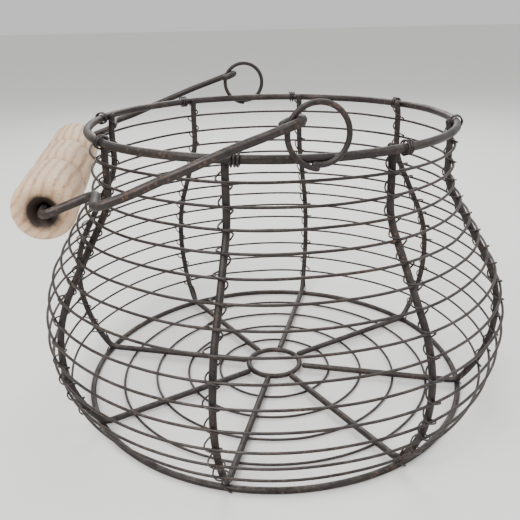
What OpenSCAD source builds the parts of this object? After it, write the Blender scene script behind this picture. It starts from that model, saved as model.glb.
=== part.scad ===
// Wire egg basket with a folding bail and a turned wooden grip.
// Eight upright ribs stand inside fourteen thin hoops. A fine binding wire runs down each
// rib and is turned once round every hoop crossing. Two ear rings on the rim carry the bail.
// Millimetres, +Z up. The origin is the middle of the base ring, on the surface it stands on.
// The ears stand on -Y and +Y, and the bail lies folded towards -X.

/* [Shown part] */
// Part to show, or all of them

/* [Rim and base] */
// Radius of the rim to the middle of its wire
rim_r = 80; // [72:0.5:90]
// Height of the middle of the rim wire
rim_z = 127.6; // [118:0.2:140]
// Thickness of the rim wire
rim_d = 3.3; // [2.6:0.1:3.8]
// Thickness of the base ring wire
base_d = 2.7; // [2.2:0.1:3.2]
// Depth worn flat under the base ring
base_flat = 0.15; // [0.1:0.05:0.3]

/* [Ribs] */
// Thickness of the rib wire
rib_d = 2.9; // [2.2:0.1:3.2]
// How far the middle of a rib stands inside the middle of the rim wire
neck_in = 2.25; // [1.8:0.05:2.8]
// Height where the neck starts to flare
neck_z = 109.2; // [104:0.2:114]
// Roundness of the shoulder, where 1 leaves no straight between its two curves
shoulder_round = 0.822; // [0.76:0.002:0.9]
// Distance of the ribs from the axis at the belly
belly_r = 104.6; // [101:0.2:108]
// Height of the widest point of the belly
belly_z = 41.2; // [38:0.2:44]
// Radius of the belly curve, seen from the side
bulge_r = 57; // [54:0.2:59]
// Radius of the bend where a rib turns in under the base
corner_r = 7.2; // [6:0.2:9]

/* [Hoops] */
// Thickness of the hoop wire
hoop_d = 1.15; // [0.9:0.05:1.4]
// Distance along a rib from the rim to the first hoop
hoop_first = 8; // [7:0.1:9.5]
// Distance along a rib from the last hoop to the bend under the base
hoop_last = 10.2; // [9.5:0.1:12]

/* [Floor] */
// Radius of the ring in the middle of the floor
hub_r = 13; // [11:0.5:16]
// Thickness of the ring in the middle of the floor
hub_d = 2.6; // [2:0.1:3]
// Radius of the smallest floor hoop
floor_first = 28; // [22:0.5:31]
// Distance from one floor hoop to the next
floor_pitch = 16; // [13:0.5:17]
// Gap between the floor hoops and the surface the basket stands on
floor_lift = 0.4; // [0.3:0.05:1]

/* [Binding wire] */
// Thickness of the binding wire
bind_d = 0.7; // [0.5:0.05:0.8]
// Slack of the binding wire round the rib and hoop
bind_slack = 0.25; // [0.25:0.05:0.4]
// Turns of the binding wire round the rim
rim_turns = 1.5; // [1.5:1:2.5]
// Distance from one turn to the next on the rim
rim_turn_pitch = 1.4; // [1.3:0.1:1.6]

/* [Ears] */
// Thickness of the ear wire
ear_d = 2; // [1.6:0.1:2.4]
// Radius of an ear to the middle of its wire
ear_r = 10.4; // [9.5:0.1:12]
// Height of the ear's middle over the middle of the rim wire
ear_lift = 8.15; // [7.5:0.05:9]
// Opening between the two ends of an ear, in degrees
ear_open = 7; // [5:1:12]

/* [Bail] */
// Thickness of the bail wire
bail_d = 3.2; // [2.8:0.1:3.6]
// Play between a hook of the bail and its ear
hook_gap = 0.4; // [0.35:0.05:0.6]
// Where the hooks sit round the ears with the bail folded, in degrees
hook_at = 160; // [158:1:165]
// Drop of the folded bail from level, in degrees
bail_drop = 19.7; // [19:0.1:20.5]
// Length from the hooks to the shoulders of the bail
shoulder_v = 67; // [62:0.5:70]
// Gap between the folded grip and the neck of the basket
grip_rest = 0.35; // [0.3:0.05:1]
// Radius of the bends of the bail
bend_r = 4; // [3.5:0.1:5]

/* [Grip] */
// Length of the grip
grip_l = 124; // [110:1:128]
// Diameter of the swells of the grip
grip_d = 22.6; // [20:0.2:25]
// Diameter in the grooves between the swells
groove_d = 18.4; // [16:0.2:19]
// Diameter of the bore
bore_d = 4.2; // [4:0.1:5]
// Diameter of the worn mouth of the bore
mouth_d = 8.4; // [6:0.2:10]
// Depth of the worn mouth
mouth_h = 4; // [2:0.5:6]

/* [Hidden] */
$fn = 96;
// gap left where one wire lies on another
seat = 0.05;
hoop_n = 14;
floor_n = 4;
// angle of the first rib from +X, and from one rib to the next
rib_first = 22.5;
rib_step = 45;
iron = [0.20, 0.18, 0.17];
dark_iron = [0.13, 0.12, 0.12];
wood = [0.76, 0.62, 0.46];

// height of the ribs where they cross the floor
floor_z = floor_lift + hoop_d + seat + rib_d / 2;
// distance from the middle of a rib to the middle of a hoop that lies on it
hoop_off = rib_d / 2 + seat + hoop_d / 2;

// The line of a rib runs from the rim down: it leaves the inside of the rim, stands upright
// at the neck, and goes on as a hollow curve, a straight shoulder, the belly curve and the
// bend under the base. Each part meets the next on a tangent.
neck_r = rim_r - neck_in;
rim_lap = neck_r - (rim_r - rim_d / 2 - rib_d / 2 - seat);
shoulder_w = belly_r - neck_r;
shoulder_h = neck_z - belly_z;
shoulder_r = shoulder_round * (pow(shoulder_w, 2) + pow(shoulder_h, 2)) / (2 * shoulder_w);
flare_r = shoulder_r - bulge_r;
slope_l = sqrt(pow(shoulder_r - shoulder_w, 2) + pow(shoulder_h, 2) - pow(shoulder_r, 2));
slope = atan2(shoulder_h, shoulder_r - shoulder_w) - atan2(slope_l, shoulder_r);
flare_c = [neck_r + flare_r, neck_z];
bulge_c = [belly_r - bulge_r, belly_z];
corner_z = floor_z + corner_r;
under_a = asin((belly_z - corner_z) / (bulge_r - corner_r));
corner_c = [bulge_c[0] + (bulge_r - corner_r) * cos(under_a), corner_z];

function arc_l(r, a) = r * a * PI / 180;
function turn(r, l) = l / r * 180 / PI;
s_flare = rim_z - neck_z;
s_slope = s_flare + arc_l(flare_r, slope);
s_bulge = s_slope + slope_l;
s_corner = s_bulge + arc_l(bulge_r, slope + under_a);
s_floor = s_corner + arc_l(corner_r, 90 - under_a);
hoop_pitch = (s_corner - hoop_last - hoop_first) / (hoop_n - 1);

// a point on a circle, with the direction that faces away from the basket
function on_arc(c, r, a) = [c[0] + r * cos(a), c[1] + r * sin(a), a];
function on_flare(a) = [flare_c[0] - flare_r * cos(a), flare_c[1] - flare_r * sin(a), a];
function on_slope(l) =
    let (p = on_flare(slope)) [p[0] + l * sin(slope), p[1] - l * cos(slope), slope];

// radius, height and outward direction of a rib at the distance s from the rim
function rib_at(s) =
    s < hoop_first ? [neck_r - rim_lap * pow(1 - s / hoop_first, 2), rim_z - s, 0]
    : s < s_flare ? [neck_r, rim_z - s, 0]
    : s < s_slope ? on_flare(turn(flare_r, s - s_flare))
    : s < s_bulge ? on_slope(s - s_slope)
    : s < s_corner ? on_arc(bulge_c, bulge_r, slope - turn(bulge_r, s - s_bulge))
    : on_arc(corner_c, corner_r, -under_a - turn(corner_r, s - s_corner));

// the same, moved outwards by n
function beside(s, n) = let (p = rib_at(s)) [p[0] + n * cos(p[2]), p[1] + n * sin(p[2])];

function hoop_s(i) = hoop_first + i * hoop_pitch;

// the base ring lies against the bend of the ribs, with its worn side on the ground
base_z = base_d / 2 - base_flat;
base_off = corner_r + rib_d / 2 + seat + base_d / 2;
base_r = corner_c[0] + sqrt(pow(base_off, 2) - pow(corner_z - base_z, 2));

// the ears touch the outside of the rim where they cross it
ear_z = rim_z + ear_lift;
ear_x = sqrt(pow(ear_r, 2) - pow(ear_lift, 2));
ear_y = sqrt(pow(rim_r + rim_d / 2 + ear_d / 2 + seat, 2) - pow(ear_x, 2));

// the bail, in its own plane: v runs from the hooks to the grip, u along the grip
// An ear passes through its hook at a slant, so the hook is wide and sits off the ear's middle.
hook_slant = 180 + bail_drop - hook_at;
hook_r = ear_d / 2 / cos(hook_slant) + bail_d / 2 + 1.5 * hook_gap;
hook_v = -0.31 * hook_r;
hook_u = ear_y - 0.15 * hook_r;
arm_u = hook_u + hook_r;
end_gap = 1;
leg_u = grip_l / 2 + end_gap + bend_r;
// the folded grip rests beside the neck, clear of every hoop that it comes near
grip_clear = grip_d / 2 + hoop_d / 2 + grip_rest;
neck_x = neck_r + hoop_off + grip_clear;
grip_z = ear_z + ear_r * sin(hook_at) - (neck_x + ear_r * cos(hook_at)) * tan(bail_drop);
grip_x = max([neck_x, for (i = [0 : hoop_n - 1])
    let (p = beside(hoop_s(i), hoop_off), h = abs(p[1] - grip_z))
    if (h < grip_clear) p[0] + sqrt(pow(grip_clear, 2) - pow(h, 2))]);
grip_v = (grip_x + ear_r * cos(hook_at)) / cos(bail_drop);

// one wire ring, lying flat
module ring(r, z, d) {
    translate([0, 0, z]) rotate_extrude() translate([r, 0]) circle(d = d);
}

// a bend of round wire in the drawing plane, from the angle a over the angle sweep
module bend(c, r, a, sweep, d) {
    translate([c[0], c[1], 0]) rotate([0, 0, a])
        rotate_extrude(angle = sweep) translate([r, 0]) circle(d = d);
}

// a straight length of round wire in the drawing plane
module rod(p, q, d) {
    w = q - p;
    translate([p[0], p[1], 0]) rotate([0, 0, atan2(w[1], w[0])]) rotate([0, 90, 0])
        cylinder(h = norm(w), d = d);
}

module hoop(i) {
    p = beside(hoop_s(i), hoop_off);
    color(iron) ring(p[0], p[1], hoop_d);
}

module floor_hoop(i) {
    color(iron) ring(floor_first + i * floor_pitch, floor_lift + hoop_d / 2, hoop_d);
}

function unit(v) = v / norm(v);
function heading(p, i) = unit(p[min(i + 1, len(p) - 1)] - p[max(i - 1, 0)]);

// An unbroken wire through the points p, with a section of so many sides. The section is
// carried along without twisting.
module wire(p, d, sides) {
    n = len(p);
    m = sides - 1;
    t = [for (i = [0 : n - 1]) heading(p, i)];
    u = [for (i = 0, w = unit(cross(t[0], [0.3, 0.5, 0.8])); i < n;
        i = i + 1, w = i < n ? unit(w - (w * t[i]) * t[i]) : w) w];
    pts = [for (i = [0 : n - 1]) let (v = cross(t[i], u[i])) for (k = [0 : m])
        p[i] + d / 2 * (cos(360 * k / sides) * u[i] + sin(360 * k / sides) * v)];
    skin = [for (i = [0 : n - 2]) for (k = [0 : m])
        let (a = sides * i + k, b = sides * i + (k + 1) % sides)
        each [[a, a + sides, b], [b, a + sides, b + sides]]];
    last = sides * (n - 1);
    ends = [for (k = [1 : m - 1]) each [[0, k, k + 1], [last, last + k + 1, last + k]]];
    polyhedron(pts, concat(skin, ends), convexity = 8);
}

// An upright rib. Its top lies against the inside of the rim, and its foot runs in over the
// floor hoops to the middle ring.
rib_s = concat(
    [-0.5, hoop_first * 0.3, hoop_first * 0.65, hoop_first],
    [for (i = [0 : 5]) s_flare + (s_slope - s_flare) * i / 5],
    [for (i = [0 : 12]) s_bulge + (s_corner - s_bulge) * i / 12],
    [for (i = [1 : 5]) s_corner + (s_floor - s_corner) * i / 5]);
rib_line = concat(
    [for (s = rib_s) let (p = rib_at(s)) [p[0], 0, p[1]]],
    [[hub_r + hub_d / 2 + seat, 0, floor_z]]);

module rib(i) {
    color(iron) rotate([0, 0, rib_first + i * rib_step]) wire(rib_line, rib_d, 10);
}

// The binding wire of one rib, in radius, height and distance to the right of the rib.
// It is turned round the rim, then runs down with one turn round each crossing.
rim_wrap = rim_d / 2 + bind_d / 2 + bind_slack + seat + 0.2;
wrap_side = rib_d / 2 + bind_d + 3 * bind_slack;
bind_in = rib_d / 2 + bind_d / 2 + bind_slack;
bind_out = rib_d / 2 + seat + hoop_d + bind_slack + bind_d / 2;
bind_side = bind_in + 0.15;
bind_mid = (bind_out - bind_in) / 2;
bind_half = (bind_out + bind_in) / 2;
turn_step = 45;

function wrap_point(w) =
    [rim_r + rim_wrap * cos(w), rim_z + rim_wrap * sin(w),
        wrap_side + rim_turn_pitch * (w + 90) / 360];
function lash_point(a) =
    let (p = beside(hoop_first + hoop_pitch * a / 360, bind_mid + bind_half * cos(a)))
    [p[0], p[1], bind_side * sin(a)];
base_wrap = base_d / 2 + bind_d / 2 + bind_slack;
function tail_point(a, t) = [base_r + base_wrap * cos(a), base_z + base_wrap * sin(a), t];

lash_path = concat(
    [for (w = [360 * rim_turns - 90 : -turn_step : -90]) wrap_point(w)],
    [for (a = [-270 : turn_step : 360 * (hoop_n - 1) + 225]) lash_point(a)],
    [tail_point(75, -0.9 * bind_side), tail_point(38, -0.35 * bind_side),
        tail_point(6, 0.35 * bind_side), tail_point(-14, 0.8 * bind_side)]);

// from radius, height and side to a point in space
function in_space(p) = let (a = p[2] / p[0] * 180 / PI) [p[0] * cos(a), p[0] * sin(a), p[1]];
lash_line = [for (p = lash_path) in_space(p)];

// least gap of the binding wire to itself, over points more than half a turn apart
lash_n = len(lash_line);
lash_gap = min([for (i = [0 : lash_n - 6]) for (j = [i + 5 : lash_n - 1])
    norm(lash_line[i] - lash_line[j])]) - bind_d;
echo(str("least gap of a binding wire to itself, mm: ", lash_gap));

module binding(i) {
    color(dark_iron) rotate([0, 0, rib_first + i * rib_step]) wire(lash_line, bind_d, 4);
}

// A bent ring that stands on the outside of the rim, its two ends almost meeting at the foot.
module ear(y) {
    color(iron) translate([0, y, ear_z]) rotate([90, 0, 0])
        bend([0, 0], ear_r, 270 + ear_open / 2, 360 - ear_open, ear_d);
}

// one half of the bail: hook, arm, shoulder, leg and half of the bar through the grip
module bail_half() {
    corner_u = arm_u - bend_r;
    bend([hook_v, hook_u], hook_r, 90, 230, bail_d);
    rod([hook_v, arm_u], [shoulder_v - bend_r, arm_u], bail_d);
    bend([shoulder_v - bend_r, corner_u], bend_r, 0, 90, bail_d);
    rod([shoulder_v, corner_u], [shoulder_v, leg_u + bend_r], bail_d);
    bend([shoulder_v + bend_r, leg_u + bend_r], bend_r, 180, 90, bail_d);
    rod([shoulder_v + bend_r, leg_u], [grip_v - bend_r, leg_u], bail_d);
    bend([grip_v - bend_r, leg_u - bend_r], bend_r, 0, 90, bail_d);
    rod([grip_v, leg_u - bend_r], [grip_v, 0], bail_d);
}

// from the plane of the bail to its place, folded down beside the neck
module folded() {
    translate([ear_r * cos(hook_at), 0, ear_z + ear_r * sin(hook_at)])
        rotate([0, 180 - bail_drop, 0]) children();
}

// half outline of the grip: three swells with a groove between each two
swell_l = grip_l / 3;
swell_flat = swell_l * 0.26;
groove_h = (grip_d - groove_d) / 2;
swell_e = swell_l / 2 - swell_flat;
swell_r = (pow(swell_e, 2) + pow(groove_h, 2)) / (2 * groove_h);
end_r = 8;
end_e = 5.2;

module swell(y, flat_a, flat_b, r_a, r_b) {
    intersection() {
        union() {
            translate([0, y - flat_a]) square([grip_d / 2, flat_a + flat_b]);
            translate([grip_d / 2 - r_a, y - flat_a]) circle(r_a);
            translate([grip_d / 2 - r_b, y + flat_b]) circle(r_b);
        }
        translate([0, y - swell_l / 2]) square([grip_d / 2, swell_l]);
    }
}

module grip_profile() {
    end_flat = swell_l / 2 - end_e;
    translate([0, -0.7 * swell_l]) square([groove_d / 2 - 1, 1.4 * swell_l]);
    swell(-swell_l, end_flat, swell_flat, end_r, swell_r);
    swell(0, swell_flat, swell_flat, swell_r, swell_r);
    swell(swell_l, swell_flat, end_flat, swell_r, end_r);
}

module rim_ring() color(iron) ring(rim_r, rim_z, rim_d);

module base_ring() color(iron) intersection() {
    ring(base_r, base_z, base_d);
    cylinder(h = base_d + 1, r = base_r + base_d);
}

module hub_ring() color(iron) ring(hub_r, floor_z, hub_d);

module ear_front() ear(-ear_y);
module ear_rear() ear(ear_y);

module bail_wire() color(iron) folded() {
    bail_half();
    mirror([0, 1, 0]) bail_half();
}

module grip() color(wood) folded() translate([grip_v, 0, 0]) rotate([90, 0, 0]) difference() {
    rotate_extrude() grip_profile();
    cylinder(h = grip_l + 2, d = bore_d, center = true);
    for (side = [0, 180]) rotate([side, 0, 0]) translate([0, 0, grip_l / 2 - mouth_h])
        cylinder(h = mouth_h + 0.01, d1 = bore_d - 0.02, d2 = mouth_d);
}

module hoop_01() hoop(0);
module hoop_02() hoop(1);
module hoop_03() hoop(2);
module hoop_04() hoop(3);
module hoop_05() hoop(4);
module hoop_06() hoop(5);
module hoop_07() hoop(6);
module hoop_08() hoop(7);
module hoop_09() hoop(8);
module hoop_10() hoop(9);
module hoop_11() hoop(10);
module hoop_12() hoop(11);
module hoop_13() hoop(12);
module hoop_14() hoop(13);

module floor_hoop_1() floor_hoop(0);
module floor_hoop_2() floor_hoop(1);
module floor_hoop_3() floor_hoop(2);
module floor_hoop_4() floor_hoop(3);

module rib_1() rib(0);
module rib_2() rib(1);
module rib_3() rib(2);
module rib_4() rib(3);
module rib_5() rib(4);
module rib_6() rib(5);
module rib_7() rib(6);
module rib_8() rib(7);

module binding_1() binding(0);
module binding_2() binding(1);
module binding_3() binding(2);
module binding_4() binding(3);
module binding_5() binding(4);
module binding_6() binding(5);
module binding_7() binding(6);
module binding_8() binding(7);

rim_ring();
base_ring();
hub_ring();
hoop_01();
hoop_02();
hoop_03();
hoop_04();
hoop_05();
hoop_06();
hoop_07();
hoop_08();
hoop_09();
hoop_10();
hoop_11();
hoop_12();
hoop_13();
hoop_14();
floor_hoop_1();
floor_hoop_2();
floor_hoop_3();
floor_hoop_4();
rib_1();
rib_2();
rib_3();
rib_4();
rib_5();
rib_6();
rib_7();
rib_8();
binding_1();
binding_2();
binding_3();
binding_4();
binding_5();
binding_6();
binding_7();
binding_8();
ear_front();
ear_rear();
bail_wire();
grip();
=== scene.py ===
import bpy, bmesh, math
from mathutils import Matrix, Vector, noise


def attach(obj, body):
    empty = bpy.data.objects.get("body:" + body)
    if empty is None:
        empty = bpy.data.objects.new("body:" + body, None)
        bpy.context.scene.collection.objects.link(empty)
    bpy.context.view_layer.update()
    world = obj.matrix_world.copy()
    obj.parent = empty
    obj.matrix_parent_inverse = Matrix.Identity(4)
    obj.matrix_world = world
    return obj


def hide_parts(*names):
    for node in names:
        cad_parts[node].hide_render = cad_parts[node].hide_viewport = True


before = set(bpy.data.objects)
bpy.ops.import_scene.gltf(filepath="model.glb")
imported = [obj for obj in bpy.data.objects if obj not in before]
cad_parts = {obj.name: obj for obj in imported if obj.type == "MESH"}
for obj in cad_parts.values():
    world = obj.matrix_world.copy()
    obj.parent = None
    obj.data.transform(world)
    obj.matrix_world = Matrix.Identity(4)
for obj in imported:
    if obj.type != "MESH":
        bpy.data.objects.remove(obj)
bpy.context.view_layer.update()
mm = 0.001
print("frame loaded:", len(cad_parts), "nodes")


# camera at the photograph's viewing angle
viewpoint = {
    "place": (-0.05282, -0.27937, 0.17357),
    "yaw": 0.1726, "pitch": -0.3594, "roll": -0.0178,
    "lens": 43.66,
    "shift": (-0.0084, -0.0246),
}

def makeCamera(v):
    ahead = Vector((math.sin(v["yaw"]) * math.cos(v["pitch"]),
                    math.cos(v["yaw"]) * math.cos(v["pitch"]), math.sin(v["pitch"])))
    right = Vector((math.cos(v["yaw"]), -math.sin(v["yaw"]), 0))
    up = right.cross(ahead)
    c, s = math.cos(v["roll"]), math.sin(v["roll"])
    right, up = right * c + up * s, up * c - right * s
    camera = bpy.data.objects.new("photoCamera", bpy.data.cameras.new("photoCamera"))
    camera.data.lens = v["lens"]
    camera.data.sensor_width = 36
    camera.data.shift_x, camera.data.shift_y = v["shift"]
    camera.data.clip_start, camera.data.clip_end = 0.01, 20
    camera.matrix_world = Matrix((
        (right.x, up.x, -ahead.x, v["place"][0]),
        (right.y, up.y, -ahead.y, v["place"][1]),
        (right.z, up.z, -ahead.z, v["place"][2]),
        (0, 0, 0, 1)))
    bpy.context.scene.collection.objects.link(camera)
    bpy.context.scene.camera = camera

makeCamera(viewpoint)


# small helpers for node trees
def addNode(tree, kind, inputs=None, **settings):
    made = tree.nodes.new(kind)
    for name, value in settings.items():
        setattr(made, name, value)
    for name, value in (inputs or {}).items():
        made.inputs[name].default_value = value
    return made

def joinUp(tree, source, target):
    tree.links.new(source, target)

def newGroup(name, inputs, outputs):
    group = bpy.data.node_groups.new(name, "ShaderNodeTree")
    for label, kind, value in inputs:
        socket = group.interface.new_socket(name=label, in_out="INPUT", socket_type=kind)
        if value is not None:
            socket.default_value = value
    for label, kind in outputs:
        group.interface.new_socket(name=label, in_out="OUTPUT", socket_type=kind)
    return group, group.nodes.new("NodeGroupInput"), group.nodes.new("NodeGroupOutput")

def useGroup(tree, group, **values):
    made = tree.nodes.new("ShaderNodeGroup")
    made.node_tree = group
    for name, value in values.items():
        made.inputs[name].default_value = value
    return made

def setRamp(ramp, stops):
    elements = ramp.color_ramp.elements
    while len(elements) < len(stops):
        elements.new(0.5)
    for element, (place, colour) in zip(elements, stops):
        element.position = place
        element.color = (*colour, 1) if len(colour) == 3 else colour
    return ramp


# effects that more than one finish uses
def makeMottleGroup():
    # slow and fast noise mixed into one mask, with a height for the bump
    group, start, end = newGroup("mottle", [
        ("Vector", "NodeSocketVector", None), ("Size", "NodeSocketFloat", 90.0),
        ("Fine Size", "NodeSocketFloat", 900.0), ("Fine Share", "NodeSocketFloat", 0.4)],
        [("Mask", "NodeSocketFloat"), ("Height", "NodeSocketFloat")])
    slow = addNode(group, "ShaderNodeTexNoise", {"Detail": 4.0, "Roughness": 0.6})
    fast = addNode(group, "ShaderNodeTexNoise", {"Detail": 6.0, "Roughness": 0.7})
    joinUp(group, start.outputs["Vector"], slow.inputs["Vector"])
    joinUp(group, start.outputs["Vector"], fast.inputs["Vector"])
    joinUp(group, start.outputs["Size"], slow.inputs["Scale"])
    joinUp(group, start.outputs["Fine Size"], fast.inputs["Scale"])
    mix = addNode(group, "ShaderNodeMix", data_type="FLOAT")
    joinUp(group, start.outputs["Fine Share"], mix.inputs[0])
    joinUp(group, slow.outputs["Fac"], mix.inputs[2])
    joinUp(group, fast.outputs["Fac"], mix.inputs[3])
    joinUp(group, mix.outputs[0], end.inputs["Mask"])
    joinUp(group, fast.outputs["Fac"], end.inputs["Height"])
    return group

def makeSpeckGroup():
    # scattered round specks or pits of uneven size, 1 in a speck and 0 between them
    group, start, end = newGroup("specks", [
        ("Vector", "NodeSocketVector", None), ("Size", "NodeSocketFloat", 700.0),
        ("Reach", "NodeSocketFloat", 0.3)], [("Mask", "NodeSocketFloat")])
    cells = addNode(group, "ShaderNodeTexVoronoi", {"Randomness": 1.0})
    joinUp(group, start.outputs["Vector"], cells.inputs["Vector"])
    joinUp(group, start.outputs["Size"], cells.inputs["Scale"])
    lessReach = addNode(group, "ShaderNodeMath", operation="SUBTRACT")
    joinUp(group, start.outputs["Reach"], lessReach.inputs[0])
    joinUp(group, cells.outputs["Distance"], lessReach.inputs[1])
    sharper = addNode(group, "ShaderNodeMath", operation="MULTIPLY", use_clamp=True)
    sharper.inputs[1].default_value = 5.0
    joinUp(group, lessReach.outputs[0], sharper.inputs[0])
    patchy = addNode(group, "ShaderNodeTexNoise", {"Scale": 60.0, "Detail": 2.0})
    joinUp(group, start.outputs["Vector"], patchy.inputs["Vector"])
    some = setRamp(addNode(group, "ShaderNodeValToRGB"), [(0.46, (0, 0, 0)), (0.6, (1, 1, 1))])
    joinUp(group, patchy.outputs["Fac"], some.inputs["Fac"])
    both = addNode(group, "ShaderNodeMath", operation="MULTIPLY")
    joinUp(group, sharper.outputs[0], both.inputs[0])
    joinUp(group, some.outputs["Color"], both.inputs[1])
    joinUp(group, both.outputs[0], end.inputs["Mask"])
    return group

def makeDustGroup():
    # pale dust that settles where a surface faces up
    group, start, end = newGroup("dust", [
        ("Vector", "NodeSocketVector", None), ("Amount", "NodeSocketFloat", 0.4)],
        [("Mask", "NodeSocketFloat")])
    facing = addNode(group, "ShaderNodeNewGeometry")
    parts = addNode(group, "ShaderNodeSeparateXYZ")
    joinUp(group, facing.outputs["Normal"], parts.inputs[0])
    upward = addNode(group, "ShaderNodeMapRange", {1: 0.35, 2: 0.95, 3: 0.0, 4: 1.0})
    joinUp(group, parts.outputs["Z"], upward.inputs[0])
    uneven = addNode(group, "ShaderNodeTexNoise", {"Scale": 220.0, "Detail": 5.0, "Roughness": 0.7})
    joinUp(group, start.outputs["Vector"], uneven.inputs["Vector"])
    patch = setRamp(addNode(group, "ShaderNodeValToRGB"), [(0.38, (0.15,) * 3), (0.66, (1, 1, 1))])
    joinUp(group, uneven.outputs["Fac"], patch.inputs["Fac"])
    first = addNode(group, "ShaderNodeMath", operation="MULTIPLY")
    joinUp(group, upward.outputs[0], first.inputs[0])
    joinUp(group, patch.outputs["Color"], first.inputs[1])
    second = addNode(group, "ShaderNodeMath", operation="MULTIPLY", use_clamp=True)
    joinUp(group, first.outputs[0], second.inputs[0])
    joinUp(group, start.outputs["Amount"], second.inputs[1])
    joinUp(group, second.outputs[0], end.inputs["Mask"])
    return group

mottle, specks, dust = makeMottleGroup(), makeSpeckGroup(), makeDustGroup()


# finishes
ironLook = {
    "deep": (0.010, 0.008, 0.0075), "body": (0.030, 0.0245, 0.0225), "rubbed": (0.105, 0.092, 0.086),
    "rust": (0.075, 0.034, 0.019), "dust": (0.23, 0.21, 0.19),
    "metal": 0.55, "roughLow": 0.36, "roughHigh": 0.62, "bump": 0.35,
}
bindingLook = {
    "deep": (0.012, 0.0105, 0.010), "body": (0.045, 0.040, 0.038), "rubbed": (0.24, 0.225, 0.215),
    "rust": (0.085, 0.042, 0.024), "dust": (0.30, 0.28, 0.26),
    "metal": 0.75, "roughLow": 0.30, "roughHigh": 0.52, "bump": 0.2,
}

def makeWireFinish(name, look, size):
    made = bpy.data.materials.new(name)
    made.use_nodes = True
    tree = made.node_tree
    skin = tree.nodes["Principled BSDF"]
    where = addNode(tree, "ShaderNodeTexCoord").outputs["Object"]
    patina = useGroup(tree, mottle, **{"Size": size, "Fine Size": size * 9, "Fine Share": 0.35})
    joinUp(tree, where, patina.inputs["Vector"])
    tone = setRamp(addNode(tree, "ShaderNodeValToRGB"), [
        (0.34, look["deep"]), (0.50, look["body"]), (0.62, look["body"]), (0.74, look["rubbed"])])
    joinUp(tree, patina.outputs["Mask"], tone.inputs["Fac"])
    rusty = useGroup(tree, specks, **{"Size": size * 7, "Reach": 0.42})
    joinUp(tree, where, rusty.inputs["Vector"])
    withRust = addNode(tree, "ShaderNodeMix", data_type="RGBA")
    joinUp(tree, rusty.outputs["Mask"], withRust.inputs[0])
    joinUp(tree, tone.outputs["Color"], withRust.inputs[6])
    withRust.inputs[7].default_value = (*look["rust"], 1)
    settled = useGroup(tree, dust, **{"Amount": 0.32})
    joinUp(tree, where, settled.inputs["Vector"])
    withDust = addNode(tree, "ShaderNodeMix", data_type="RGBA")
    joinUp(tree, settled.outputs["Mask"], withDust.inputs[0])
    joinUp(tree, withRust.outputs[2], withDust.inputs[6])
    withDust.inputs[7].default_value = (*look["dust"], 1)
    joinUp(tree, withDust.outputs[2], skin.inputs["Base Color"])
    rough = addNode(tree, "ShaderNodeMapRange", {1: 0.35, 2: 0.7, 3: look["roughHigh"], 4: look["roughLow"]})
    joinUp(tree, patina.outputs["Mask"], rough.inputs[0])
    matt = addNode(tree, "ShaderNodeMath", operation="MULTIPLY_ADD", use_clamp=True)
    matt.inputs[1].default_value = 0.25
    joinUp(tree, rusty.outputs["Mask"], matt.inputs[0])
    joinUp(tree, rough.outputs[0], matt.inputs[2])
    joinUp(tree, matt.outputs[0], skin.inputs["Roughness"])
    metal = addNode(tree, "ShaderNodeMath", operation="MULTIPLY_ADD", use_clamp=True)
    metal.inputs[1].default_value = -0.5
    metal.inputs[2].default_value = look["metal"]
    joinUp(tree, rusty.outputs["Mask"], metal.inputs[0])
    joinUp(tree, metal.outputs[0], skin.inputs["Metallic"])
    relief = addNode(tree, "ShaderNodeMath", operation="MULTIPLY_ADD")
    relief.inputs[1].default_value = -0.8  # the rust has eaten small pits
    joinUp(tree, rusty.outputs["Mask"], relief.inputs[0])
    joinUp(tree, patina.outputs["Height"], relief.inputs[2])
    bump = addNode(tree, "ShaderNodeBump", {"Strength": look["bump"], "Distance": 0.00012})
    joinUp(tree, relief.outputs[0], bump.inputs["Height"])
    joinUp(tree, bump.outputs["Normal"], skin.inputs["Normal"])
    return made

agedIron = makeWireFinish("agedIron", ironLook, 85)
bindingIron = makeWireFinish("bindingIron", bindingLook, 210)

woodLook = {
    "pale": (0.66, 0.475, 0.315), "mid": (0.56, 0.375, 0.235), "dark": (0.36, 0.21, 0.115),
    # groove is both the painted shade in the hollows between the swells and the brown stain on the end faces
    # round the mouths
    "pore": (0.20, 0.105, 0.055), "stain": (0.030, 0.019, 0.014), "groove": (0.27, 0.155, 0.085),
    "axis": (-92.05, 0.0, 109.847),
}

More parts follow.
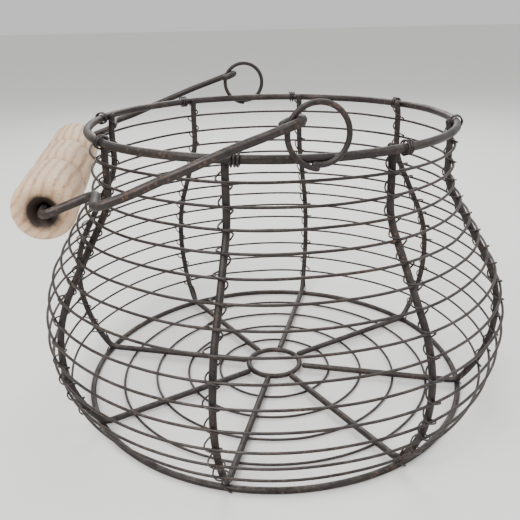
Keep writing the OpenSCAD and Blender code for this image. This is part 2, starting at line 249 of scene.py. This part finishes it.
def makeWoodFinish(look):
    made = bpy.data.materials.new("turnedWood")
    made.use_nodes = True
    tree = made.node_tree
    skin = tree.nodes["Principled BSDF"]
    where = addNode(tree, "ShaderNodeTexCoord").outputs["Object"]
    centred = addNode(tree, "ShaderNodeMapping")
    centred.inputs["Location"].default_value = [-c * mm for c in look["axis"]]
    joinUp(tree, where, centred.inputs["Vector"])
    # growth rings round a pith that lies outside the grip
    pith = addNode(tree, "ShaderNodeMapping")
    pith.inputs["Location"].default_value = (0.019, 0.0, -0.012)
    pith.inputs["Rotation"].default_value = (0.05, 0.0, 0.03)
    joinUp(tree, centred.outputs[0], pith.inputs["Vector"])
    rings = addNode(tree, "ShaderNodeTexWave", {
        "Scale": 95.0, "Distortion": 3.2, "Detail": 3.0, "Detail Scale": 0.6, "Detail Roughness": 0.55},
        wave_type="RINGS", rings_direction="Y")
    joinUp(tree, pith.outputs[0], rings.inputs["Vector"])
    # long streaks of the grain
    along = addNode(tree, "ShaderNodeMapping")
    along.inputs["Scale"].default_value = (1.0, 0.075, 1.0)
    joinUp(tree, centred.outputs[0], along.inputs["Vector"])
    streaks = useGroup(tree, mottle, **{"Size": 260.0, "Fine Size": 1500.0, "Fine Share": 0.45})
    joinUp(tree, along.outputs[0], streaks.inputs["Vector"])
    grain = addNode(tree, "ShaderNodeMix", data_type="FLOAT")
    grain.inputs[0].default_value = 0.30
    joinUp(tree, streaks.outputs["Mask"], grain.inputs[2])
    joinUp(tree, rings.outputs["Fac"], grain.inputs[3])
    tone = setRamp(addNode(tree, "ShaderNodeValToRGB"), [
        (0.28, look["dark"]), (0.40, look["mid"]), (0.55, look["pale"]), (0.80, look["pale"])])
    joinUp(tree, grain.outputs[0], tone.inputs["Fac"])
    # short pores: flecks along the sides and dots on the ends
    stretched = addNode(tree, "ShaderNodeMapping")
    stretched.inputs["Scale"].default_value = (1.0, 0.16, 1.0)
    joinUp(tree, centred.outputs[0], stretched.inputs["Vector"])
    pores = useGroup(tree, specks, **{"Size": 1150.0, "Reach": 0.36})
    joinUp(tree, stretched.outputs[0], pores.inputs["Vector"])
    poreShare = addNode(tree, "ShaderNodeMath", operation="MULTIPLY")
    poreShare.inputs[1].default_value = 0.5
    joinUp(tree, pores.outputs["Mask"], poreShare.inputs[0])
    withPores = addNode(tree, "ShaderNodeMix", data_type="RGBA")
    joinUp(tree, poreShare.outputs[0], withPores.inputs[0])
    joinUp(tree, tone.outputs["Color"], withPores.inputs[6])
    withPores.inputs[7].default_value = (*look["pore"], 1)
    # distance from the axis, and from the middle along it
    flat = addNode(tree, "ShaderNodeVectorMath", operation="MULTIPLY")
    flat.inputs[1].default_value = (1, 0, 1)
    joinUp(tree, centred.outputs[0], flat.inputs[0])
    radius = addNode(tree, "ShaderNodeVectorMath", operation="LENGTH")
    joinUp(tree, flat.outputs[0], radius.inputs[0])
    parts = addNode(tree, "ShaderNodeSeparateXYZ")
    joinUp(tree, centred.outputs[0], parts.inputs[0])
    length = addNode(tree, "ShaderNodeMath", operation="ABSOLUTE")
    joinUp(tree, parts.outputs["Y"], length.inputs[0])
    # painted shade: the hollows between the swells are mixed towards a dark brown, darker the deeper the
    # hollow
    wander = addNode(tree, "ShaderNodeTexNoise", {"Scale": 160.0, "Detail": 4.0})
    joinUp(tree, centred.outputs[0], wander.inputs["Vector"])
    hollow = addNode(tree, "ShaderNodeMapRange", {1: 0.0103, 2: 0.0091, 3: 0.0, 4: 0.62})
    joinUp(tree, radius.outputs["Value"], hollow.inputs[0])
    inGroove = addNode(tree, "ShaderNodeMapRange", {1: 0.0290, 2: 0.0275, 3: 0.0, 4: 1.0})
    joinUp(tree, length.outputs[0], inGroove.inputs[0])
    hollowShade = addNode(tree, "ShaderNodeMath", operation="MULTIPLY")
    joinUp(tree, hollow.outputs[0], hollowShade.inputs[0])
    joinUp(tree, inGroove.outputs[0], hollowShade.inputs[1])
    # mix the painted shade into the hollows
    withHollowShade = addNode(tree, "ShaderNodeMix", data_type="RGBA")
    joinUp(tree, hollowShade.outputs[0], withHollowShade.inputs[0])
    joinUp(tree, withPores.outputs[2], withHollowShade.inputs[6])
    withHollowShade.inputs[7].default_value = (*look["groove"], 1)
    # black stain that the wire has left round the mouth of the bore
    uneven = addNode(tree, "ShaderNodeMath", operation="MULTIPLY_ADD")
    uneven.inputs[1].default_value = 0.0055
    joinUp(tree, wander.outputs["Fac"], uneven.inputs[0])
    joinUp(tree, radius.outputs["Value"], uneven.inputs[2])
    stained = addNode(tree, "ShaderNodeMapRange", {1: 0.0098, 2: 0.0076, 3: 0.0, 4: 1.0})
    joinUp(tree, uneven.outputs[0], stained.inputs[0])
    browned = addNode(tree, "ShaderNodeMapRange", {1: 0.0135, 2: 0.0085, 3: 0.0, 4: 0.55})
    joinUp(tree, uneven.outputs[0], browned.inputs[0])
    atEnd = addNode(tree, "ShaderNodeMapRange", {1: 0.0545, 2: 0.0575, 3: 0.0, 4: 1.0})
    joinUp(tree, length.outputs[0], atEnd.inputs[0])
    inBore = addNode(tree, "ShaderNodeMapRange", {1: 0.0062, 2: 0.0052, 3: 0.0, 4: 1.0})
    joinUp(tree, radius.outputs["Value"], inBore.inputs[0])
    endBrown = addNode(tree, "ShaderNodeMath", operation="MULTIPLY")
    joinUp(tree, browned.outputs[0], endBrown.inputs[0])
    joinUp(tree, atEnd.outputs[0], endBrown.inputs[1])
    endStain = addNode(tree, "ShaderNodeMath", operation="MULTIPLY")
    joinUp(tree, stained.outputs[0], endStain.inputs[0])
    joinUp(tree, atEnd.outputs[0], endStain.inputs[1])
    black = addNode(tree, "ShaderNodeMath", operation="MAXIMUM")
    joinUp(tree, endStain.outputs[0], black.inputs[0])
    joinUp(tree, inBore.outputs[0], black.inputs[1])
    # the same dark brown used here is the stain on the end faces round the mouth, not shade
    withBrown = addNode(tree, "ShaderNodeMix", data_type="RGBA")
    joinUp(tree, endBrown.outputs[0], withBrown.inputs[0])
    joinUp(tree, withHollowShade.outputs[2], withBrown.inputs[6])
    withBrown.inputs[7].default_value = (*look["groove"], 1)
    withStain = addNode(tree, "ShaderNodeMix", data_type="RGBA")
    joinUp(tree, black.outputs[0], withStain.inputs[0])
    joinUp(tree, withBrown.outputs[2], withStain.inputs[6])
    withStain.inputs[7].default_value = (*look["stain"], 1)
    joinUp(tree, withStain.outputs[2], skin.inputs["Base Color"])
    rough = addNode(tree, "ShaderNodeMapRange", {1: 0.2, 2: 0.8, 3: 0.66, 4: 0.48})
    joinUp(tree, streaks.outputs["Mask"], rough.inputs[0])
    joinUp(tree, rough.outputs[0], skin.inputs["Roughness"])
    relief = addNode(tree, "ShaderNodeMath", operation="MULTIPLY_ADD")
    relief.inputs[1].default_value = -1.2
    joinUp(tree, pores.outputs["Mask"], relief.inputs[0])
    joinUp(tree, streaks.outputs["Height"], relief.inputs[2])
    bump = addNode(tree, "ShaderNodeBump", {"Strength": 0.35, "Distance": 0.00015})
    joinUp(tree, relief.outputs[0], bump.inputs["Height"])
    joinUp(tree, bump.outputs["Normal"], skin.inputs["Normal"])
    skin.inputs["Specular IOR Level"].default_value = 0.35
    return made

turnedWood = makeWoodFinish(woodLook)
print("finishes made")


# wire: a line of points in millimetres with a round section
def smoothLine(points, steps):
    line = []
    for i in range(len(points) - 1):
        a, b = points[max(i - 1, 0)], points[i]
        c, d = points[i + 1], points[min(i + 2, len(points) - 1)]
        for k in range(steps):
            t = k / steps
            line.append(0.5 * (2 * b + (c - a) * t + (2 * a - 5 * b + 4 * c - d) * t * t
                               + (3 * b - a - 3 * c + d) * t ** 3))
    line.append(points[-1])
    return line

def rounded(line, radius):
    # a few more points beyond each end, where the section closes to a dome
    before, after = (line[0] - line[1]).normalized(), (line[-1] - line[-2]).normalized()
    steps = [(0.35, 0.94), (0.62, 0.78), (0.84, 0.54), (0.96, 0.28), (1.0, 0.05)]
    points = [line[0] + before * radius * x for x, y in reversed(steps)]
    points += line + [line[-1] + after * radius * x for x, y in steps]
    swell = [y for x, y in reversed(steps)] + [1.0] * len(line) + [y for x, y in steps]
    return points, swell

def makeWire(name, line, thickness, finish, body, node, closed=False, detail=4, uneven=0.02):
    radius = thickness / 2
    points, swell = (line, [1.0] * len(line)) if closed else rounded(line, radius)
    curve = bpy.data.curves.new(name, "CURVE")
    curve.dimensions = "3D"
    curve.bevel_depth = radius * mm
    curve.bevel_resolution = detail
    curve.use_fill_caps = not closed
    spline = curve.splines.new("POLY")
    spline.points.add(len(points) - 1)
    spline.use_cyclic_u = closed
    for target, point, size in zip(spline.points, points, swell):
        target.co = (*(point * mm), 1)
        target.radius = size * (1 + uneven * noise.noise(point * 0.21))
    drawn = bpy.data.objects.new(name + "Line", curve)
    bpy.context.scene.collection.objects.link(drawn)
    mesh = bpy.data.meshes.new_from_object(drawn.evaluated_get(bpy.context.evaluated_depsgraph_get()))
    bpy.data.objects.remove(drawn)
    bpy.data.curves.remove(curve)
    bm = bmesh.new()
    bm.from_mesh(mesh)
    bmesh.ops.remove_doubles(bm, verts=bm.verts, dist=1e-6)
    bmesh.ops.recalc_face_normals(bm, faces=bm.faces)
    for vert in bm.verts:
        vert.co.z = max(vert.co.z, 0)  # worn flat where it stands
    for face in bm.faces:
        face.smooth = True
    bm.to_mesh(mesh)
    bm.free()
    mesh.name = name
    mesh.materials.clear()
    mesh.materials.append(finish)
    piece = bpy.data.objects.new(name, mesh)
    bpy.context.scene.collection.objects.link(piece)
    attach(piece, body)
    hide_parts(node)
    return piece


# the line of a rib, as the part has it
basket = {
    "rimRadius": 80, "rimHeight": 127.6, "rimWire": 3.3, "baseWire": 2.7, "baseFlat": 0.15,
    "ribWire": 2.9, "neckIn": 2.25, "neckHeight": 109.2, "shoulderRound": 0.822,
    "bellyRadius": 104.6, "bellyHeight": 41.2, "bulge": 57, "corner": 7.2,
    "hoopWire": 1.15, "firstHoop": 8, "lastHoop": 10.2, "hoops": 14, "touch": 0.05, "floorLift": 0.4,
    "hubRadius": 13, "hubWire": 2.6, "floorHoops": (28, 44, 60, 76), "ribAngle": 22.5, "ribStep": 45,
}

def ribShape(b):
    neck = b["rimRadius"] - b["neckIn"]
    lap = neck - (b["rimRadius"] - b["rimWire"] / 2 - b["ribWire"] / 2 - b["touch"])
    wide, high = b["bellyRadius"] - neck, b["neckHeight"] - b["bellyHeight"]
    both = b["shoulderRound"] * (wide ** 2 + high ** 2) / (2 * wide)
    flare = both - b["bulge"]
    straight = math.sqrt((both - wide) ** 2 + high ** 2 - both ** 2)
    slope = math.atan2(high, both - wide) - math.atan2(straight, both)
    floorZ = b["floorLift"] + b["hoopWire"] + b["touch"] + b["ribWire"] / 2
    cornerZ = floorZ + b["corner"]
    under = math.asin((b["bellyHeight"] - cornerZ) / (b["bulge"] - b["corner"]))
    bulgeX = b["bellyRadius"] - b["bulge"]
    cornerX = bulgeX + (b["bulge"] - b["corner"]) * math.cos(under)
    sFlare = b["rimHeight"] - b["neckHeight"]
    sSlope = sFlare + flare * slope
    sBulge = sSlope + straight
    sCorner = sBulge + b["bulge"] * (slope + under)
    sFloor = sCorner + b["corner"] * (math.pi / 2 - under)

    def at(s):
        # radius, height and outward direction at the distance s from the rim
        if s < b["firstHoop"]:
            return neck - lap * (1 - s / b["firstHoop"]) ** 2, b["rimHeight"] - s, 0.0
        if s < sFlare:
            return neck, b["rimHeight"] - s, 0.0
        if s < sBulge:
            a = min((s - sFlare) / flare, slope)
            l = max(s - sSlope, 0)
            return (neck + flare * (1 - math.cos(a)) + l * math.sin(a),
                    b["neckHeight"] - flare * math.sin(a) - l * math.cos(a), a)
        if s < sCorner:
            a = slope - (s - sBulge) / b["bulge"]
            return bulgeX + b["bulge"] * math.cos(a), b["bellyHeight"] + b["bulge"] * math.sin(a), a
        a = -under - (s - sCorner) / b["corner"]
        return cornerX + b["corner"] * math.cos(a), cornerZ + b["corner"] * math.sin(a), a

    baseZ = b["baseWire"] / 2 - b["baseFlat"]
    baseOff = b["corner"] + b["ribWire"] / 2 + b["touch"] + b["baseWire"] / 2
    return {"at": at, "floorZ": floorZ, "end": sFloor, "corner": sCorner, "baseZ": baseZ,
            "baseRadius": cornerX + math.sqrt(baseOff ** 2 - (cornerZ - baseZ) ** 2),
            "pitch": (sCorner - b["lastHoop"] - b["firstHoop"]) / (b["hoops"] - 1)}

rib = ribShape(basket)

def beside(s, out):
    r, z, a = rib["at"](s)
    return r + out * math.cos(a), z + out * math.sin(a)

def turned(x, y, z, degrees):
    a = math.radians(degrees)
    return Vector((x * math.cos(a) - y * math.sin(a), x * math.sin(a) + y * math.cos(a), z))

def chance(*seed):
    # a repeatable number from 0 to 1
    x = math.sin(sum((k + 1) * 12.9898 * (s + 0.731) for k, s in enumerate(seed))) * 43758.5453
    return x - math.floor(x)


# rings: each is a little uneven, as hand-bent wire is
def ringLine(radius, height, count, waver, pull, seed):
    line = []
    for k in range(count):
        degrees = 360 * k / count
        free = math.sin(math.radians(4 * (degrees - basket["ribAngle"]))) ** 2  # 0 at a rib
        a = math.radians(degrees)
        sway = noise.noise(Vector((math.cos(a) * 1.7, math.sin(a) * 1.7, seed * 3.1)))
        lift = noise.noise(Vector((math.cos(a) * 2.3 + 9, math.sin(a) * 2.3, seed * 2.7)))
        r = radius - pull * free + waver * min(sway, 0.0) * free * 2
        line.append(Vector((r * math.cos(a), r * math.sin(a), height + waver * lift * free * 1.6)))
    return line

for name, radius, height, thickness, waver, pull, seed in (
        ("rim_ring", basket["rimRadius"], basket["rimHeight"], basket["rimWire"], 0.25, 0.08, 1),
        ("base_ring", rib["baseRadius"], rib["baseZ"], basket["baseWire"], 0.2, 0.1, 2),
        ("hub_ring", basket["hubRadius"], rib["floorZ"], basket["hubWire"], 0.05, 0.0, 3)):
    makeWire(name + "_wire", ringLine(radius, height, 288, waver, pull, seed), thickness, agedIron,
             "basket", name, closed=True, detail=6)
for i in range(basket["hoops"]):
    r, z = beside(basket["firstHoop"] + i * rib["pitch"],
                  basket["ribWire"] / 2 + basket["touch"] + basket["hoopWire"] / 2)
    makeWire(f"hoop_wire_{i + 1:02d}", ringLine(r, z, 240, 0.32, 0.28, 10 + i), basket["hoopWire"],
             agedIron, "basket", f"hoop_{i + 1:02d}", closed=True, detail=3)
for i, r in enumerate(basket["floorHoops"]):
    makeWire(f"floor_hoop_wire_{i + 1}",
             ringLine(r, basket["floorLift"] + basket["hoopWire"] / 2, 200, 0.15, 0.1, 40 + i),
             basket["hoopWire"], agedIron, "basket", f"floor_hoop_{i + 1}",
             closed=True, detail=3)
print("rings and hoops drawn")


# ribs
def ribLine(i):
    line, s = [], -0.5
    while s < rib["end"]:
        r, z, a = rib["at"](s)
        free = min(max(s / 20, 0), 1)
        side = 0.16 * noise.noise(Vector((s * 0.06, i * 5.3, 0))) * free
        line.append(Vector((r, side, z)))
        s += 0.8 if s > rib["corner"] - 2 else 1.6
    inner = basket["hubRadius"] + basket["hubWire"] / 2 + basket["touch"] + basket["ribWire"] / 2
    last = line[-1].x
    for k in range(1, 25):
        line.append(Vector((last + (inner - last) * k / 24, 0, rib["floorZ"])))
    return [turned(p.x, p.y, p.z, basket["ribAngle"] + i * basket["ribStep"]) for p in line]

for i in range(8):
    makeWire(f"rib_wire_{i + 1}", ribLine(i), basket["ribWire"], agedIron, "basket", f"rib_{i + 1}",
             detail=6, uneven=0.035)
print("ribs bent")


# binding wire: turned round the rim, then once round every crossing of a hoop and a rib
binding = {
    "wire": 0.7, "slack": 0.25, "rimTurns": 2.5, "rimPitch": 1.25, "rimSwell": 0.35,
    "steep": 27, "side": 2.35, "tailSide": 2.2, "loose": 0.55, "step": 30,
}

def bindingLine(i):
    b, w = binding, basket
    half = b["wire"] / 2
    wrap = w["rimWire"] / 2 + half + b["slack"] + w["touch"] + 0.1
    wrapSide = w["ribWire"] / 2 + b["wire"] + 3 * b["slack"]
    inner = w["ribWire"] / 2 + half + b["slack"]
    outer = w["ribWire"] / 2 + w["touch"] + w["hoopWire"] + b["slack"] + half
    path = []
    turn = 360 * b["rimTurns"] - 90
    while turn >= -90:
        a = math.radians(turn)
        n = int((turn + 90) // 360)
        swell = wrap + b["rimSwell"] * chance(i, n, 3) * (0.5 + 0.5 * math.sin(a))
        path.append((w["rimRadius"] + swell * math.cos(a), w["rimHeight"] + swell * math.sin(a),
                     wrapSide + b["rimPitch"] * (turn + 90) / 360
                     + 0.3 * (chance(i, n, 4) - 0.5) * math.sin(a)))
        turn -= b["step"]
    degrees = -270
    while degrees <= 360 * (w["hoops"] - 1) + 225:
        a = math.radians(degrees)
        n = round(degrees / 360)
        s = w["firstHoop"] + rib["pitch"] * (degrees - b["steep"] * math.sin(a)) / 360
        left = max(0.0, -math.sin(a)) * max(0.0, math.cos(a + 0.9)) * b["loose"] * 2.4 * chance(i, n, 1)
        right = max(0.0, math.sin(a)) * max(0.0, math.cos(a - 0.6)) * b["loose"] * 1.6 * chance(i, n, 2)
        r, z = beside(s, (outer - inner) / 2 + (outer + inner) / 2 * math.cos(a) + 0.7 * left + 0.5 * right)
        path.append((r, z, b["side"] * math.sin(a) - left + right))
        degrees += b["step"]
    baseWrap = w["baseWire"] / 2 + half + b["slack"]
    for degrees, side in ((75, -0.9), (38, -0.35), (6, 0.35), (-14, 0.8)):
        a = math.radians(degrees)
        path.append((rib["baseRadius"] + baseWrap * math.cos(a), rib["baseZ"] + baseWrap * math.sin(a),
                     side * b["tailSide"]))
    points = []
    for r, z, side in path:
        points.append(turned(r * math.cos(side / r), r * math.sin(side / r), z,
                             w["ribAngle"] + i * w["ribStep"]))
    return smoothLine(points, 3)

for i in range(8):
    makeWire(f"binding_wire_{i + 1}", bindingLine(i), binding["wire"], bindingIron, "basket",
             f"binding_{i + 1}", detail=2)
print("bindings wound")


# ears: a ring of wire whose ends lap at the foot
ear = {
    "wire": 2.0, "radius": 10.4, "height": 135.75, "out": 82.447, "cross": 6.46, "weld": 0.85,
    "lowEnd": 267, "sweep": 364, "spread": 0.75, "tuck": 0.55, "stepOut": 0.55,
}

def earLine(side):
    line = []
    for k in range(97):
        t = k / 96
        # from the lower end up the left, over the top and down the right
        degrees = ear["lowEnd"] - ear["sweep"] * t
        a = math.radians(degrees)
        spread = (ear["spread"] * (max(0, 1 - t / 0.2) ** 2)
                  - ear["tuck"] * (max(0, (t - 0.85) / 0.15) ** 2))
        away = ear["stepOut"] * (max(0, 1 - t / 0.12) ** 2)
        r = ear["radius"] + spread
        line.append(Vector((r * math.cos(a), side * (ear["out"] + away), ear["height"] + r * math.sin(a))))
    return line

for name, side in (("ear_front", -1), ("ear_rear", 1)):
    piece = makeWire(name + "_ring", earLine(side), ear["wire"], agedIron, "basket", name,
                     detail=6)
    bm = bmesh.new()
    bm.from_mesh(piece.data)
    for x in (-ear["cross"], ear["cross"]):  # the small weld where the ring crosses the rim
        place = Vector((x * 1.02, side * (ear["out"] - 0.75), basket["rimHeight"] + 0.2)) * mm
        bmesh.ops.create_icosphere(bm, subdivisions=3, radius=ear["weld"] * mm,
                                   matrix=Matrix.Translation(place) @ Matrix.Diagonal((1.5, 1.0, 1.3, 1)))
    for face in bm.faces:
        face.smooth = True
    bm.to_mesh(piece.data)
    bm.free()


# bail: two hooks, two arms, the shoulders and the bar through the grip
bail = {
    "wire": 3.2, "hookAt": 160, "drop": 19.7, "hookRadius": 3.5, "hookV": -1.085, "hookU": 81.922,
    "armU": 85.422, "shoulder": 67, "leg": 67, "gripV": 87.392, "bend": 4,
    "bow": ((-1, 0.0), (20, 0.35), (42, 0.0), (56, -0.35), (67, 0.0), (90, 0.0)),
}

def bowAt(v):
    steps = bail["bow"]
    for (v0, h0), (v1, h1) in zip(steps, steps[1:]):
        if v <= v1:
            t = min(max((v - v0) / (v1 - v0), 0), 1)
            t = t * t * (3 - 2 * t)
            return h0 + (h1 - h0) * t
    return 0.0

def arcPoints(v, u, r, start, stop, count):
    return [(v + r * math.cos(math.radians(start + (stop - start) * k / count)),
             u + r * math.sin(math.radians(start + (stop - start) * k / count))) for k in range(count + 1)]

def straightPoints(a, b, count):
    return [(a[0] + (b[0] - a[0]) * k / count, a[1] + (b[1] - a[1]) * k / count) for k in range(1, count)]

def bailLine():
    b, r = bail, bail["bend"]
    half = arcPoints(b["hookV"], b["hookU"], b["hookRadius"], 318, 90, 34)
    half += straightPoints((b["hookV"], b["armU"]), (b["shoulder"] - r, b["armU"]), 44)
    half += arcPoints(b["shoulder"] - r, b["armU"] - r, r, 90, 0, 10)
    half += straightPoints((b["shoulder"], b["armU"] - r), (b["shoulder"], b["leg"] + r), 6)
    half += arcPoints(b["shoulder"] + r, b["leg"] + r, r, 180, 270, 10)
    half += straightPoints((b["shoulder"] + r, b["leg"]), (b["gripV"] - r, b["leg"]), 6)
    half += arcPoints(b["gripV"] - r, b["leg"] - r, r, 90, 0, 10)
    half += straightPoints((b["gripV"], b["leg"] - r), (b["gripV"], 0), 20)
    both = half + [(b["gripV"], 0)] + [(v, -u) for v, u in reversed(half)]
    a = math.radians(180 - b["drop"])
    hook = Vector((ear["radius"] * math.cos(math.radians(b["hookAt"])), 0,
                   ear["height"] + ear["radius"] * math.sin(math.radians(b["hookAt"]))))
    alongArm, overArm = Vector((math.cos(a), 0, -math.sin(a))), Vector((-math.sin(a), 0, -math.cos(a)))
    return [hook + alongArm * v + overArm * bowAt(v) + Vector((0, u, 0)) for v, u in both]

makeWire("bail_wire_bent", bailLine(), bail["wire"], agedIron, "bail", "bail_wire",
         detail=7, uneven=0.03)
print("ears and bail bent")


# grip: turned on a lathe, with a worn mouth round the wire at each end
grip = {
    "length": 124, "swell": 11.3, "flat": 10.75, "swellCurve": 24.48, "endFlat": 56.8,
    "endCurve": 8.0, "bore": 2.1, "mouth": 4.9, "mouthDeep": 5.0, "faceDip": 0.35, "boreFrom": 5.4,
    "steps": 128, "lengthStep": 0.8, "nick": (-3.6, -6.6), "nickReach": 1.9, "nickDeep": 0.75,
    "cuts": (-57.4, -24.0, -20.67, -17.6, 17.6, 20.67, 24.0, 57.4), "cutDeep": 0.16,
}

def gripRadius(y):
    g = grip
    third = g["length"] / 3
    middle = third * round(y / third) if abs(y) < g["length"] / 2 else math.copysign(third, y)
    away = abs(y - middle)
    if abs(y) > g["endFlat"]:
        return g["swell"] - g["endCurve"] + math.sqrt(g["endCurve"] ** 2 - (abs(y) - g["endFlat"]) ** 2)
    outside = (y - middle) * middle > 0 and abs(middle) > 1  # the end swells run flat to the end curve
    if away <= g["flat"] or outside:
        return g["swell"]
    return g["swell"] - g["swellCurve"] + math.sqrt(g["swellCurve"] ** 2 - (away - g["flat"]) ** 2)

def makeGrip():
    g = grip
    end = g["length"] / 2
    step = g["lengthStep"]
    along = {round(-end + step * k, 3) for k in range(int(g["length"] / step) + 1)} | {end}
    for cut in g["cuts"]:
        along = {y for y in along if abs(y - cut) > 0.5}
        along |= {cut - 0.3, cut - 0.1, cut, cut + 0.1, cut + 0.3}
    outline = []
    for y in sorted(along):
        near = min(abs(y - cut) for cut in g["cuts"])
        outline.append((gripRadius(y) - g["cutDeep"] * max(0, 1 - near / 0.28), y))
    faceRadius = outline[-1][0]
    face = []
    for k in range(1, 9):  # the end face is a little dished, then runs into the mouth
        t = k / 8
        face.append((faceRadius + (g["mouth"] - faceRadius) * t,
                     end + 0.12 * math.sin(math.pi * min(t * 1.6, 1)) - g["faceDip"] * t ** 4))
    for k in range(1, 9):
        t = k / 8
        face.append((g["bore"] + (g["mouth"] - g["bore"]) * (1 - t) ** 1.6,
                     end - g["faceDip"] - g["mouthDeep"] * t))
    bore = [(g["bore"], (end - g["boreFrom"]) * k / 12) for k in range(11, -12, -1)]
    loop = outline + face + bore + [(r, -y) for r, y in reversed(face)]
    bm = bmesh.new()
    verts = [bm.verts.new((r * mm, y * mm, 0)) for r, y in loop]
    edges = [bm.edges.new((a, b)) for a, b in zip(verts, verts[1:] + verts[:1])]
    bmesh.ops.spin(bm, geom=verts + edges, cent=(0, 0, 0), axis=(0, 1, 0), angle=2 * math.pi,
                   steps=g["steps"], use_merge=True)
    bmesh.ops.remove_doubles(bm, verts=bm.verts, dist=1e-6)
    bmesh.ops.recalc_face_normals(bm, faces=bm.faces)
    for vert in bm.verts:
        p = vert.co / mm
        r = math.hypot(p.x, p.z)
        if abs(p.y) > end - 5.8 and r < 7.5:  # the wire has worn the mouth out of round
            lobe = Vector((p.x, p.z)).normalized().dot(Vector((-0.72, 0.69 if p.y < 0 else -0.69)))
            near = max(0, 1 - abs(r - g["mouth"]) / 2.6) * max(0, 1 - (end - abs(p.y)) / 4.5)
            push = near * (0.9 * max(lobe, 0) ** 2 + 0.35 * noise.noise(p * 0.4))
            vert.co.x += p.x / r * push * mm
            vert.co.z += p.z / r * push * mm
        elif r > 7:  # slight flats and dents of long use
            dent = 0.10 * noise.noise(Vector((p.x * 0.11, p.y * 0.06, p.z * 0.11)))
            vert.co.x -= p.x / r * max(dent, 0) * mm
            vert.co.z -= p.z / r * max(dent, 0) * mm
        nick = (Vector((p.x, p.z)) - Vector(g["nick"])).length
        if p.y < -end + 2 and nick < g["nickReach"]:
            vert.co.y += g["nickDeep"] * (1 - nick / g["nickReach"]) * mm
    bmesh.ops.translate(bm, verts=bm.verts, vec=Vector(woodLook["axis"]) * mm)
    for face in bm.faces:
        face.smooth = True
    mesh = bpy.data.meshes.new("grip_turned")
    bm.to_mesh(mesh)
    bm.free()
    mesh.materials.append(turnedWood)
    piece = bpy.data.objects.new("grip_turned", mesh)
    bpy.context.scene.collection.objects.link(piece)
    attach(piece, "grip")
    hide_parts("grip")

makeGrip()
print("grip turned")


# floor and light
studio = {
    "floor": (0.86, 0.85, 0.83), "world": 0.75,
    "lights": (("keyLight", (-0.42, -0.50, 0.72), 0.55, 9.0), ("fillLight", (0.62, -0.30, 0.45), 0.8, 3.0),
               ("backLight", (0.10, 0.62, 0.60), 0.6, 4.5)),
}

def makeStudio(s):
    bm = bmesh.new()
    bmesh.ops.create_grid(bm, x_segments=8, y_segments=8, size=6)
    mesh = bpy.data.meshes.new("studioFloor")
    bm.to_mesh(mesh)
    bm.free()
    floor = bpy.data.objects.new("studioFloor", mesh)
    paint = bpy.data.materials.new("floorPaint")
    paint.use_nodes = True
    paint.node_tree.nodes["Principled BSDF"].inputs["Base Color"].default_value = (*s["floor"], 1)
    paint.node_tree.nodes["Principled BSDF"].inputs["Roughness"].default_value = 0.8
    mesh.materials.append(paint)
    bpy.context.scene.collection.objects.link(floor)
    world = bpy.data.worlds.new("studioSky")
    world.use_nodes = True
    world.node_tree.nodes["Background"].inputs["Color"].default_value = (1, 1, 1, 1)
    world.node_tree.nodes["Background"].inputs["Strength"].default_value = s["world"]
    bpy.context.scene.world = world
    for name, place, size, power in s["lights"]:
        lamp = bpy.data.lights.new(name, "AREA")
        lamp.shape, lamp.size, lamp.energy = "DISK", size, power
        holder = bpy.data.objects.new(name, lamp)
        holder.location = place
        holder.rotation_euler = (Vector((0, 0, 0.06)) - Vector(place)).to_track_quat("-Z", "Y").to_euler()
        bpy.context.scene.collection.objects.link(holder)

makeStudio(studio)
print("studio set")
